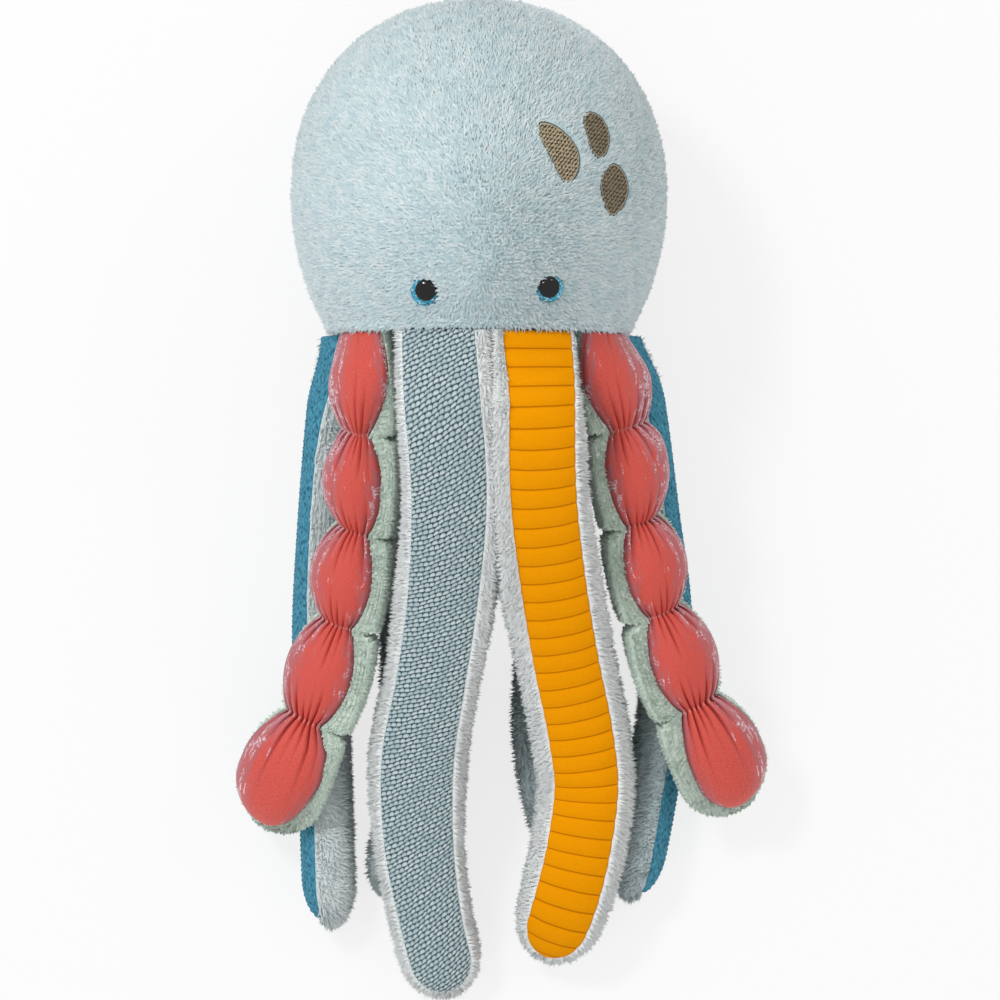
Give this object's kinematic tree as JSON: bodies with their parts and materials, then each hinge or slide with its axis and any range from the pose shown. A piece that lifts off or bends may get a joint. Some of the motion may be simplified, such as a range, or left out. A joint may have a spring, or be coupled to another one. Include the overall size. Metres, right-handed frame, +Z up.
{
  "type": "plush jellyfish",
  "caption": "Stuffed plush sea creature with a round fur head, safety eyes, embroidered spots and long arms faced with woven, ribbed, gathered and dimpled fabric.",
  "frame": {"origin": "middle of the lowest plane of the whole toy, which lies on its back", "axes": "+Z up, away from the floor and out of the face; +Y along the toy towards the crown of the head; +X to the viewer's right"},
  "size_m": [0.2734, 0.5068, 0.1825],
  "materials": {
    "fur": "short combed pile in pale aqua",
    "velour": "short sage green velour",
    "woven": "nubby grey-blue basket weave",
    "ribbed": "mustard knit in padded cross ribs",
    "puffed": "coral cloth with a pearly thread, gathered with elastic",
    "dimpled": "blue textured pile with raised dimples",
    "stitching": "golden-grey satin stitch embroidery",
    "base_cloth": "plain knit backing cloth",
    "eye_black": "polished black plastic",
    "iris_blue": "blue glitter disc",
    "washer_white": "moulded white plastic"
  },
  "bodies": {
    "root": {"head_plush": "fur", "head_base": "base_cloth", "eye_left_dome": "eye_black", "eye_left_iris": "iris_blue", "eye_left_washer": "washer_white", "eye_right_dome": "eye_black", "eye_right_iris": "iris_blue", "eye_right_washer": "washer_white", "spot_large": "stitching", "spot_upper": "stitching", "spot_lower": "stitching", "front_left_arm": "fur", "front_left_woven_panel": "woven", "front_right_arm": "fur", "front_right_ribbed_panel": "ribbed", "side_left_arm": "velour", "side_left_puffed_panel": "puffed", "side_right_arm": "velour", "side_right_puffed_panel": "puffed", "flank_left_arm": "fur", "flank_left_dimpled_panel": "dimpled", "flank_right_arm": "fur", "flank_right_dimpled_panel": "dimpled", "rear_left_arm": "fur", "rear_left_ribbed_panel": "ribbed", "rear_right_arm": "fur", "rear_right_woven_panel": "woven"}
  },
  "joints": []
}
